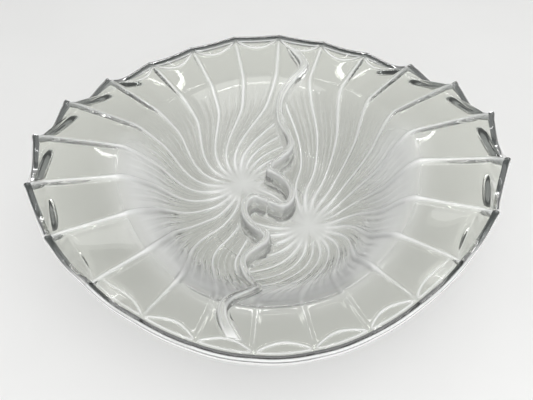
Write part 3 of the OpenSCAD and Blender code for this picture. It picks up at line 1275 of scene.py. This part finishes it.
@dataclass(frozen=True)
class FusedJoint:
    """Where two regions of one pressing meet inside the glass. Nothing is seen there."""

    name: str = "fused_glass_joint"
    colour: str = "#ffffff"

    def make(self) -> bpy.types.Material:
        """Make the material.

        Returns:
            A surface that lets everything through.
        """
        material, tree = new_material(self.name)
        clear = add_node(tree, "ShaderNodeBsdfTransparent", {"Color": linear(self.colour)})
        add_node(tree, "ShaderNodeOutputMaterial", {"Surface": clear.outputs[0]})
        return material


@dataclass(frozen=True)
class MattBoard:
    """White matt board for the table top. It is even and pale, with a trace of unevenness."""

    name: str = "matt_white_board"
    light: str = "#f3f3f2"
    dark: str = "#ececeb"
    mottle_width: float = 120.0 * MM
    roughness: float = 0.6

    def make(self) -> bpy.types.Material:
        """Make the material.

        Returns:
            The board, mottled from its light colour to its dark one.
        """
        material, tree = new_material(self.name)
        place = add_node(tree, "ShaderNodeTexCoord").outputs["Object"]
        mottle = add_node(tree, "ShaderNodeTexNoise", {
            "Vector": place, "Scale": 1 / self.mottle_width, "Detail": 4.0})
        ramp = add_node(tree, "ShaderNodeValToRGB", {"Fac": mottle.outputs["Fac"]})
        ramp.color_ramp.elements[0].color = linear(self.dark)
        ramp.color_ramp.elements[1].color = linear(self.light)
        body = add_node(tree, "ShaderNodeBsdfPrincipled", {
            "Base Color": ramp.outputs["Color"], "Roughness": self.roughness})
        add_node(tree, "ShaderNodeOutputMaterial", {"Surface": body.outputs[0]})
        return material


# ---------------------------------------------------------------------------------------------
# Stage
# ---------------------------------------------------------------------------------------------


@dataclass(frozen=True)
class SoftLight:
    """A soft rectangular light that faces the dish."""

    name: str
    place: tuple[float, float, float]
    size: tuple[float, float]
    power: float

    def hang(self) -> None:
        """Hang the light in the scene."""
        data = bpy.data.lights.new(self.name, "AREA")
        data.shape = "RECTANGLE"
        data.size, data.size_y = self.size
        data.energy = self.power
        lamp = bpy.data.objects.new(self.name, data)
        lamp.location = self.place
        lamp.rotation_euler = (-Vector(self.place)).to_track_quat("-Z", "Y").to_euler()
        bpy.context.scene.collection.objects.link(lamp)


# Two large soft boxes light the glass evenly, and two thin strips draw the bright lines on it
LIGHTS = (
    SoftLight("front_softbox", (0.2, -0.75, 1.4), (2.2, 2.2), 26.5),
    SoftLight("front_strip", (0.0, -0.5, 1.3), (1.6, 0.05), 3.0),
    SoftLight("back_softbox", (-0.1, 1.0, 1.4), (2.0, 1.0), 1.2),
    SoftLight("back_strip", (0.0, 0.9, 1.0), (1.2, 0.04), 1.4),
)


@dataclass(frozen=True)
class Studio:
    """The table, the room's light and the camera."""

    zenith: str = "#f6f6f5"
    horizon: str = "#c4c6c6"
    horizon_top: float = 0.22           # sine of the height at which the horizon's colour ends
    zenith_low: float = 0.5             # sine of the height at which the zenith's colour starts
    sky_strength: float = 0.3
    floor_size: float = 6.0
    air_gap: float = 0.1 * MM           # the ground foot rests on high points only
    glass_bounces: int = 32             # light runs a long way inside a thick steep wall
    camera_place: tuple[float, float, float] = (-0.0226, -0.3177, 0.4636)
    camera_aim: tuple[float, float, float] = (0.0394, 0.5888, -0.8074)
    lens: float = 46.86
    sensor: float = 36.0
    view_range: tuple[float, float] = (0.01, 50.0)

    def make_floor(self) -> bpy.types.Object:
        """Lay the table top under the dish.

        Returns:
            The table top.
        """
        mesh = bpy.data.meshes.new("table_top")
        h, z = self.floor_size / 2, -self.air_gap
        mesh.from_pydata([(-h, -h, z), (h, -h, z), (h, h, z), (-h, h, z)], [], [(0, 1, 2, 3)])
        mesh.materials.append(MattBoard().make())
        floor = bpy.data.objects.new("table_top", mesh)
        bpy.context.scene.collection.objects.link(floor)
        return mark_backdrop(floor)

    def make_world(self) -> None:
        """Light the room: white overhead, and greyer near the level of the table."""
        world = bpy.data.worlds.new("studio")
        world.use_nodes = True
        tree = world.node_tree
        tree.nodes.clear()
        place = add_node(tree, "ShaderNodeTexCoord").outputs["Generated"]
        up = (0.0, 0.0, 1.0)
        height = add_node(tree, "ShaderNodeVectorMath", {0: place, 1: up}, operation="DOT_PRODUCT")
        ramp = add_node(tree, "ShaderNodeValToRGB", {"Fac": height.outputs["Value"]})
        ramp.color_ramp.elements[0].position = self.horizon_top
        ramp.color_ramp.elements[0].color = linear(self.horizon)
        ramp.color_ramp.elements[1].position = self.zenith_low
        ramp.color_ramp.elements[1].color = linear(self.zenith)
        sky = add_node(tree, "ShaderNodeBackground", {
            "Color": ramp.outputs["Color"], "Strength": self.sky_strength})
        add_node(tree, "ShaderNodeOutputWorld", {"Surface": sky.outputs[0]})
        bpy.context.scene.world = world

    def make_camera(self) -> None:
        """Stand the camera at the front of the dish, looking down on it."""
        data = bpy.data.cameras.new("camera")
        data.lens, data.sensor_width = self.lens, self.sensor
        data.clip_start, data.clip_end = self.view_range
        camera = bpy.data.objects.new("camera", data)
        camera.location = self.camera_place
        camera.rotation_euler = Vector(self.camera_aim).to_track_quat("-Z", "Y").to_euler()
        bpy.context.scene.collection.objects.link(camera)
        bpy.context.scene.camera = camera

    def make(self) -> None:
        """Set up the whole studio."""
        self.make_floor()
        self.make_world()
        for light in LIGHTS:
            light.hang()
        self.make_camera()
        scene = bpy.context.scene
        scene.view_settings.view_transform = "Standard"
        scene.cycles.max_bounces = self.glass_bounces
        scene.cycles.transmission_bounces = self.glass_bounces
        scene.cycles.glossy_bounces = self.glass_bounces
        scene.cycles.transparent_max_bounces = self.glass_bounces
        scene.cycles.caustics_refractive = False
        scene.cycles.caustics_reflective = False


# ---------------------------------------------------------------------------------------------
# Assembly
# ---------------------------------------------------------------------------------------------


def dress(piece: bpy.types.Object, node: str) -> None:
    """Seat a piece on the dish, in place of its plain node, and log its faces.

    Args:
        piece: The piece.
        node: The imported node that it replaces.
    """
    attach(piece, "root")
    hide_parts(node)
    LOG.info("%s stands for %s with %d faces", piece.name, node, len(piece.data.polygons))


def main() -> None:
    """Build the dish and the studio, and note the oval's size."""
    logging.basicConfig(level=logging.INFO, format="%(name)s: %(message)s")
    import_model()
    form = DishForm.from_frame()
    LOG.info("oval %.4f by %.4f m", form.length, form.width)
    Studio().make()
    joint = FusedJoint().make()
    clear = PressedGlass().make()
    polished = FirePolishedGlassPaintedShade().make()
    ground = GroundGlass().make()
    dress(Basin(form, Side.LEFT, "left_basin_glass").make([clear, joint]), "left_basin")
    dress(Basin(form, Side.RIGHT, "right_basin_glass").make([clear, joint]), "right_basin")
    dress(Shelf(form, Side.LEFT, "left_shelf_glass").make([clear, joint]), "left_shelf")
    dress(Shelf(form, Side.RIGHT, "right_shelf_glass").make([clear, joint]), "right_shelf")
    dress(Rim(form).make([polished, joint]), "scalloped_rim")
    dress(Divider(form).make([clear, joint]), "divider")
    dress(FootRing(form).make([ground, joint]), "foot_ring")


if __name__ == "__main__":
    main()
